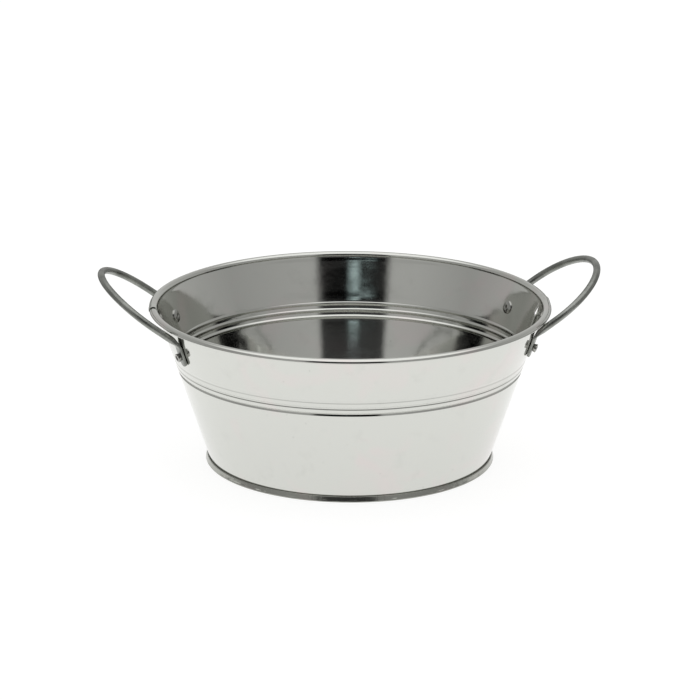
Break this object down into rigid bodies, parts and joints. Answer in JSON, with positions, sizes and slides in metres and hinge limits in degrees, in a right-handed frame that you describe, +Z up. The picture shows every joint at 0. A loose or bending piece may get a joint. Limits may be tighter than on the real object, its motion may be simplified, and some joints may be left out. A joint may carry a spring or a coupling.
{
  "type": "round metal tub",
  "caption": "Shallow round flared sheet-steel tub with a rolled rim, rolled beads, a seamed foot ring and riveted wire loop handles.",
  "frame": {"origin": "on the tub's axis, on the surface that the foot ring stands on", "axes": "+Z up along the tub's axis, +X through the middle of the right handle, -Y through the front half of the wall"},
  "size_m": [0.3246, 0.26, 0.1285],
  "materials": {
    "bright_tinplate": "bright rolled tinplate, nearly mirror-like",
    "tinplate_base": "tinplate, dulled by seaming",
    "plated_wire": "zinc-plated drawn wire",
    "rivet_steel": "plated steel blind rivet",
    "mandrel_steel": "bare broken steel"
  },
  "bodies": {
    "root": {"shell_front": "bright_tinplate", "shell_rear": "bright_tinplate", "base_disc": "tinplate_base", "handle_left": "plated_wire", "handle_right": "plated_wire", "rivet_left_front": "rivet_steel", "rivet_left_rear": "rivet_steel", "rivet_right_front": "rivet_steel", "rivet_right_rear": "rivet_steel", "mandrel_left_front": "mandrel_steel", "mandrel_left_rear": "mandrel_steel", "mandrel_right_front": "mandrel_steel", "mandrel_right_rear": "mandrel_steel"}
  },
  "joints": []
}
